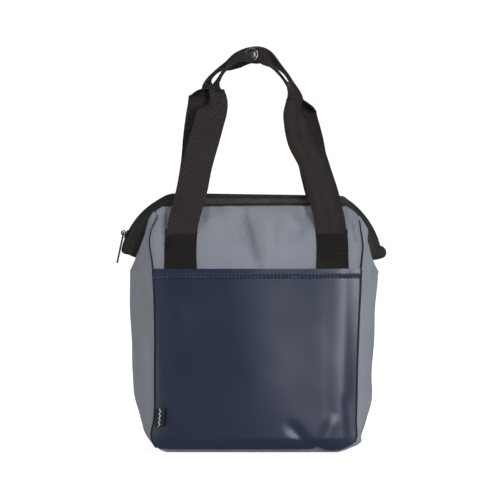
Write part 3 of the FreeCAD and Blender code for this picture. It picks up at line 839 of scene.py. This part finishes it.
def wing_top(side, count):
    """Points down the teeth line of a zipper end, from the crest to its stop."""
    centre_x, centre_z, radius, start, stop = WING_ARC[side]
    sign = SIGN[side]
    points = [(sign * CREST_END, CREST_Z[side]), (sign * (CREST_END + 7), CREST_Z[side] - 1.7)]
    for angle in np.radians(np.linspace(start, stop, 9)):
        points.append((centre_x + sign * radius * math.cos(angle), centre_z + radius * math.sin(angle)))
    points = np.array(points)
    along = run(points)
    line = follow(np.column_stack([along / along[-1], points]), np.linspace(0, 1, count))
    return np.stack([line[:, 0], np.full(count, -TEETH_Y), line[:, 1]], -1)


def zip_face(low, top, rows, bow):
    """Grid from a lower edge to the teeth, bowed out by a vector at half height."""
    v = np.linspace(0, 1, rows)[:, None, None]
    return low[None] * (1 - v) + top[None] * v + np.sin(math.pi * v) * np.array(bow)


def wing_grid(side, columns=70, rows=16):
    """Front half of a zipper end: from its lower edge up to the teeth, facing front."""
    top = wing_top(side, columns)
    edge = follow(WING_EDGE[side], np.linspace(0, 1, columns))
    return outward(zip_face(seen(*edge.T), top, rows, (0, -1.6, 0.56)), side)


def band_grid(columns=150, rows=16):
    """Front half of the zipper panel over the mouth, from the rim up to the teeth."""
    u = np.linspace(0, 1, columns)
    left_low, right_low = wing_grid("left")[0, -1], wing_grid("right")[0, 0]
    x = left_low[0] + (right_low[0] - left_low[0]) * u
    apparent = EYE_X + (x - EYE_X) / RIM_SCALE
    low = seen(apparent, follow(RIM_LINE, apparent) - 1.2, RIM_DEPTH)
    low[0], low[-1] = left_low, right_low
    height = CREST_Z["left"] + (CREST_Z["right"] - CREST_Z["left"]) * u
    top = np.stack([-CREST_END + 2 * CREST_END * u, np.full(columns, -TEETH_Y), height], -1)
    grid = zip_face(low, top, rows, (0, -1.1, 0.66))
    x = grid[..., 0]
    return push(grid, 0.35 * np.sin(x / 2.1) * arch(rows)[:, None] * (0.5 + 0.5 * np.sin(x / 19)))


def coil(name, line, turn, pitch=1.7):
    """Row of zipper teeth along a line: short rounded bars that reach across it."""
    along = run(line)
    angles = np.linspace(0, 2 * math.pi, TOOTH_SIDES, endpoint=False)
    points, faces = [], []
    offset = 0.0 if turn > 0 else pitch / 2
    for k in range(int((along[-1] - offset) / pitch)):
        x, z = (np.interp(offset + (k + 0.5) * pitch, along, line[:, i]) for i in (0, 2))
        faces += ring_faces(len(TOOTH), TOOTH_SIDES, len(points), flip=turn > 0)
        for y, size in TOOTH:
            points += [(x + size * math.cos(a), y * turn, z + 0.5 + size * math.sin(a)) for a in angles]
    return mesh_piece(name, points, faces, COIL, 50)


def zip_strip(name, grid, low, high, lift):
    """Narrow raised strip that follows some rows of a grid: the zipper's tape or a binding."""
    pick = np.linspace(low, high, 5) * (len(grid) - 1)
    rows = np.arange(len(grid))
    columns = np.moveaxis(grid, 0, -1)
    strip = np.array([[np.interp(pick, rows, line) for line in column] for column in columns])
    strip = push(strip.transpose(2, 0, 1), lift * np.array([[0.6], [1], [1], [1], [0.6]]))
    return cloth(name, strip, 0.8, TAPE)


def zipper():
    """Zipper panels over the mouth and the curved ends past it, with tape, binding and teeth."""
    band = band_grid()
    for place, turn in PLACES:
        mouth, name = place + "_mouth", place + "_zip"
        grid = facing(band, turn)
        sheet(name + "_cover", grid, ZIP_FABRIC, [name + "_band"], 1.0, body=mouth)
        fit(zip_strip(name + "_tape", grid, 0.62, 0.97, 0.6), body=mouth)
        fit(zip_strip(name + "_binding", grid, 0.0, 0.13, 1.3), body=mouth)
        fit(coil(name + "_coil", band[-1] * (1, turn, 1), turn), [name + "_teeth"], mouth)
        for side in SIDES:
            name = f"{side}_wing_{place}"
            grid = facing(wing_grid(side), turn)
            line = wing_top(side, 80) * (1, turn, 1)
            pieces = (
                sheet(name + "_cover", grid, WING_FABRIC, [name], 1.0, body=None),
                fit(zip_strip(name + "_tape", grid, 0.68, 0.97, 0.6)),
                fit(coil(name + "_coil", line, turn), [side + "_wing_teeth"]),
            )
            for piece in pieces:
                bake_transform(piece)


# ---- handles

WEBBING_HALF = 16.0
WEBBING_THICK = 1.3
STITCH_ROW = 3.7  # spacing of an anchor's ridges
FOLD_RADIUS = 1.55  # outside radius of the fold along the grip
# Depth of the front handle's outer face, by its height on the front plane
HANDLE_DEPTH = [(186, -78.4), (206, -62.3), (221, -50.4), (228, -45.9), (236, -43.4), (300, -26.6),
    (374, -6.6), (392, -4.9), (430, -4.9)]
# A handle's centre line on the front plane: x, z, how far its outer half is folded behind,
# and twist in degrees. Those two are 0 where they are left out
HANDLES = {
    "front": [(-77.4, 222), (-75.5, 237), (-71.9, 251), (-67, 268), (-60.4, 299), (-53.6, 323),
        (-48.4, 342), (-45.4, 354, 0.03, 0), (-45.2, 361.6, 0.2, 6), (-46.8, 367, 0.34, 14),
        (-48.2, 372.6, 0.52, 16), (-47.4, 376, 0.75, 40), (-45, 380, 0.96, 64), (-40.6, 386, 1, 80),
        (-36.8, 392, 1, 82), (-32, 399.4, 1, 72), (-26.6, 406, 1, 62), (-19, 411.6, 1, 50),
        (-10.5, 415, 1, 28), (-3, 416.2, 1, 8), (2, 416, 1, 0), (7.6, 413.6, 1, 12), (12.6, 408.8, 1, 36),
        (16.2, 402.9, 1, 62), (20.2, 397.4, 1, 78), (24.8, 391.5, 1, 84), (31.4, 383.3, 1, 84),
        (37.6, 377.4, 1, 66), (42.4, 372, 1, 44), (45.8, 365, 0.92, 16), (45, 357, 0.5, 4),
        (43, 349, 0.2, 0), (43.6, 340, 0.06, 0), (47, 323), (57.4, 302), (62, 288), (68.5, 268), (73, 250),
        (76.2, 235), (77.5, 222)],
    "back": [(-77.4, 222), (-75.5, 237), (-71.5, 253), (-66, 278), (-62.4, 302), (-60.4, 325),
        (-57.8, 345), (-55, 364, 0.03, 0), (-54.8, 370, 0.12, 0), (-55.4, 375, 0.38, 12),
        (-54.6, 380, 0.74, 42), (-51.4, 385.6, 0.98, 76), (-45.2, 392, 1, 88), (-38.8, 397.6, 1, 82),
        (-32.2, 402.6, 1, 58), (-24, 409.6, 1, 24), (-14, 414.6, 1, 6), (-5, 416.8, 1, 0),
        (1.1, 417.2, 1, 0), (8, 416, 1, 4), (14.2, 412.8, 1, 16), (19, 408.4, 1, 38), (24, 402.3, 1, 66),
        (28, 397.2, 1, 80), (32.8, 391, 1, 86), (37.8, 383.2, 1, 82), (42, 376.8, 0.98, 60),
        (45, 371, 0.76, 30), (46.8, 365.6, 0.46, 14), (46.8, 360, 0.26, 4), (46.4, 353, 0.04, 0),
        (47.6, 344), (50.4, 334), (53.8, 321), (56.5, 307), (60.6, 287), (66, 266), (71.5, 249), (76, 235),
        (77.5, 222)],
}


def handle_grid(place, turn, samples=8):
    """A handle as one strip of webbing: flat straps whose outer half folds behind along the grip."""
    stations = np.array([(*row, 0, 0)[:4] for row in HANDLES[place]], float)
    steps = run(stations[:, :2])
    count = len(stations) * samples
    rows = follow(np.column_stack([steps / steps[-1], stations]), np.linspace(0, 1, count))
    depth = follow(HANDLE_DEPTH, rows[:, 1])
    path = seen(rows[:, 0], rows[:, 1], depth * turn) * (1, turn, 1)
    along = unit(np.gradient(path, axis=0))
    out = np.array((0.0, -1.0, 0.0))
    out = unit(out - along * (along @ out)[:, None])
    inward = np.cross(along, out)
    twist = np.radians(rows[:, 3])[:, None]
    inward, out = inward * np.cos(twist) + out * np.sin(twist), out * np.cos(twist) - inward * np.sin(twist)
    theta = np.clip(rows[:, 2], 0, 1) * math.pi
    spread = np.concatenate([[-16, -15.4, -12, -8.5], np.arange(-5.6, 0, 0.5), [0, 0.7, 4, 8, 12, 15.4, 16]])
    grid = np.zeros((count, len(spread), 3))
    for c, s in enumerate(spread):
        if s >= 0:
            grid[:, c] = path + inward * s
            continue
        turned = np.minimum(-s / FOLD_RADIUS, theta)
        rest = (-s - turned * FOLD_RADIUS)[:, None]
        arc = out * np.cos(turned)[:, None] - inward * np.sin(turned)[:, None] - out
        tail = -inward * np.cos(theta)[:, None] - out * np.sin(theta)[:, None]
        grid[:, c] = path + arc * FOLD_RADIUS + tail * rest
    height = rows[:, 1][:, None]
    flat = (1 - smooth(rows[:, 2], 0, 0.3))[:, None]
    cup = -0.9 * (spread[None] / WEBBING_HALF) ** 2 * smooth(height, 235, 290) * flat
    slack = 0.5 * np.sin(height / 9.0 + spread[None] / 14) * smooth(height, 240, 270) * flat
    return facing(push(grid, cup + slack), turn)


def handles():
    """Both webbing handles, sewn to the upper panels by ridged anchors, and the straps' tails."""
    for place, turn in PLACES:
        nodes = [place + "_handle_webbing"]
        grid = handle_grid(place, turn)
        name = place + "_handle_strap"
        strap = sheet(name, grid, WEBBING, nodes, WEBBING_THICK, body=None, sharp=55)
        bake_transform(strap)
        for side in SIDES:
            anchor(place, side, turn)
    for side in SIDES:
        low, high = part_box(side + "_strap_tail")
        u, z = shares(12, 24, low.z / MM, high.z / MM)
        x = (low.x + (high.x - low.x) * u) / MM
        grid = np.stack([x, low.y / MM + 0.2 * np.cos(u * 7), z], -1)
        nodes = [side + "_strap_tail"]
        sheet(side + "_strap_end", grid, WEBBING, nodes, 1.4, sharp=55)


def anchor_grid(side, columns=26, rows=90):
    """The end of a strap, sewn flat on the upper panel with close rows of stitching."""
    u, z = np.meshgrid(np.linspace(-1, 1, columns), np.linspace(187.6, 229.5, rows))
    centre = SIGN[side] * (78.2 - 1.1 * smooth(z, 212, 230))
    ridges = np.abs(np.sin(math.pi * (z - 199) / STITCH_ROW)) ** 0.7
    ridges = ridges * smooth(z, 196, 200) * (1 - smooth(z, 223, 226))
    border = smooth(1 - np.abs(u), 0, 0.1)
    return push(on_panel(centre + u * 16.3, z), 2.0 + (1.1 * ridges - 0.4) * border)


def anchor(place, side, turn):
    """A strap's anchor with its rows of thread."""
    grid = facing(anchor_grid(side), turn)
    name, mouth = f"{place}_{side}", place + "_mouth"
    nodes = [name + "_strap_anchor"]
    # The anchor wears the darker copy of the webbing: painted shade.
    sheet(name + "_anchor", grid, SHADED_WEBBING, nodes, 1.8, mouth=mouth, sharp=55)
    paths = [grid[row, 2:-2] for row in range(24, 73, 8)]
    out = (0, -0.78 * turn, 0.63)
    rows = stitches(name + "_anchor_stitches", paths, out, BLACK_THREAD, 2.6, 0.6, 0.6, 0.3)
    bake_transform(rows)


# ---- snap, slider and end tabs

# Turned profiles as (radius, distance forward)
CAP_PROFILE = [(6.2, -0.2), (6.3, 1.0), (5.8, 1.9), (4.4, 2.5), (2.5, 2.85), (0.6, 2.95)]
RING_PROFILE = [(6.0, -0.4), (6.7, -0.3), (7.0, 0.2), (7.0, 0.7), (6.8, 1.1), (6.5, 1.2), (6.1, 0.9)]
RIVET_PROFILE = [(6.2, -0.3), (6.6, 0.2), (6.3, 0.9), (4.6, 1.5), (2.0, 1.8), (0.5, 1.85)]
# Outlines of the folded tabs at the zipper's ends, on the front plane
END_TABS = {
    "left": [(-137.6, 208.6), (-137.4, 205.6), (-131, 203.8), (-124.6, 201.2), (-123.6, 204.4),
        (-130, 208.4)],
    "right": [(125.5, 213.8), (129.8, 212.8), (133.2, 209), (133.2, 203.6), (129, 200.4), (119.8, 198.8),
        (117.4, 203), (121, 210)],
}


def lathe(name, profile, centre, turn, material, sides=48):
    """A turned piece on an axis that runs front to back; the profile is (radius, distance forward)."""
    points = []
    for radius, reach in profile:
        for a in np.linspace(0, 2 * math.pi, sides, endpoint=False):
            points.append(centre + (radius * math.cos(a), -reach * turn, radius * math.sin(a)))
    faces = ring_faces(len(profile), sides, flip=turn < 0)
    return mesh_piece(name, points, faces, material, 35)


def snap():
    """Press-stud through both grips: a dark domed cap in a bright ring, its socket, stud and rivet."""
    low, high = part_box("snap_cap")
    centre = np.array((low + high) / 2) / MM
    centre[1] = follow(HANDLE_DEPTH, 410)[0] - WEBBING_THICK / 2
    cap = lathe("snap_cap_dome", CAP_PROFILE, centre, 1, LACQUER)
    fit(cap, ["snap_cap"], "front_handle")
    fit(lathe("snap_cap_rim", RING_PROFILE, centre, 1, CHROME), body="front_handle")
    rivet = lathe("snap_rivet_head", RIVET_PROFILE, centre * (1, -1, 1), -1, CHROME)
    fit(rivet, ["snap_rivet"], "back_handle")
    coat(CHROME, "snap_socket", "snap_stud")


def coat(material, *nodes):
    """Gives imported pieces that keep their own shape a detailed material."""
    for node in nodes:
        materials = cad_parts[node].data.materials
        materials.clear()
        materials.append(material)


def pillow(name, outline, half, material):
    """A folded fabric tab: an outline seen from the front, rounded off front and back."""
    table = [(place, *corner) for place, corner in enumerate(outline + outline[:1])]
    ring = follow(table, np.linspace(0, len(outline), 49)[:-1])
    middle = ring.mean(axis=0)
    layers = np.linspace(-1, 1, 13)
    points = []
    for t in layers:
        size = 0.72 + 0.28 * (1 - abs(t) ** 3) ** 0.5
        layer = seen(*(middle + (ring - middle) * size).T, 0.0)
        layer[:, 1] = t * half
        points += list(layer)
    return mesh_piece(name, points, ring_faces(len(layers), len(ring)), material, 50)


def hardware():
    """The slider and puller in black enamel, and the fabric tabs that close the zipper's ends."""
    coat(ENAMEL, "zipper_slider", "slider_bail", "zipper_puller")
    for side, outline in END_TABS.items():
        tab = pillow(side + "_zip_tab", outline, 3.8, TAPE)
        fit(tab, [side + "_end_tab"], "bag")


# ---- stage, light and camera

# Lights as name, place in metres, (width, height), watts and colour
SOFTBOXES = [
    ("key", (1.95, -0.6, 0.65), (0.5, 0.7), 17),
    ("fill", (-1.8, -0.9, 0.5), (0.9, 0.9), 20),
    ("top", (0.2, -0.3, 2.0), (1.2, 1.2), 8),
    ("rim", (0.3, 1.8, 1.3), (1.2, 1.2), 10),
    ("right_sheen", (0.88, -2.05, 0.3), (0.4, 1.8), 62, (0.93, 0.96, 1.0)),
    ("left_sheen", (-1.0, -1.95, 0.45), (0.3, 1.6), 2.6, (0.78, 0.87, 1.0)),
]


def floor():
    """A plain pale floor."""
    shader = Shader("pale_floor", "c4c4c2", 0.9, Specular_IOR_Level=0.0)
    shader.set("Emission Color", (1.0, 1.0, 1.0, 1.0))
    camera_ray = shader.node("LightPath").outputs["Is Camera Ray"]
    distance = shader.node("VectorMath", shader.place, operation="LENGTH").outputs["Value"]
    seen_glow = shader.spread(distance, 0.25, 1.2, 0.82, 0.97)
    shader.set("Emission Strength", shader.spread(camera_ray, 0.0, 1.0, 0.2, seen_glow))
    bpy.ops.mesh.primitive_circle_add(vertices=96, radius=6.0, fill_type="NGON", location=(0, 0, -0.0002))
    piece = bpy.context.object
    piece.name = "floor"
    piece.data.materials.append(shader.material)


def softbox(name, place, size, power, tint=(1.0, 1.0, 1.0)):
    """A rectangular area light, so wide and so high, that faces the bag."""
    data = bpy.data.lights.new(name, "AREA")
    data.shape = "RECTANGLE"
    data.size, data.size_y = size
    data.energy = power
    data.color = tint
    lamp = bpy.data.objects.new(name, data)
    lamp.location = place
    lamp.rotation_euler = (Vector((0, 0, 0.18)) - Vector(place)).to_track_quat("-Z", "Y").to_euler()
    scene.collection.objects.link(lamp)


def lights():
    """Soft studio light: white surroundings, a key from the front right, fills from left and above."""
    world = bpy.data.worlds.new("studio")
    world.use_nodes = True
    scene.world = world
    tree = world.node_tree
    tree.nodes.clear()
    kinds = ("LightPath", "MixShader", "OutputWorld")
    path, mix, output = (tree.nodes.new("ShaderNode" + kind) for kind in kinds)
    tree.links.new(path.outputs["Is Camera Ray"], mix.inputs[0])
    tree.links.new(mix.outputs[0], output.inputs[0])
    # what lights the bag, then what the camera sees
    for place, (shade, strength) in enumerate((((0.96, 0.98, 1.0, 1), 0.15), ((1, 1, 1, 1), 1.05)), 1):
        glow = tree.nodes.new("ShaderNodeBackground")
        glow.inputs["Color"].default_value = shade
        glow.inputs["Strength"].default_value = strength
        tree.links.new(glow.outputs[0], mix.inputs[place])
    for row in SOFTBOXES:
        softbox(*row)


def camera():
    """Level camera straight in front of the bag."""
    data = bpy.data.cameras.new("camera")
    data.sensor_width = 36.0
    data.lens = data.sensor_width * EYE_DISTANCE / VIEW_WIDTH
    eye = bpy.data.objects.new("camera", data)
    eye.location = (EYE_X * MM, (FRONT_Y - EYE_DISTANCE) * MM, EYE_Z * MM)
    eye.rotation_euler = (math.radians(90), 0, 0)
    scene.collection.objects.link(eye)
    scene.camera = eye
    scene.view_settings.view_transform = "Standard"


for build in (lower_body, pocket, piping, label, uppers, zipper, handles, snap, hardware):
    build()
for build in (floor, lights, camera):
    build()
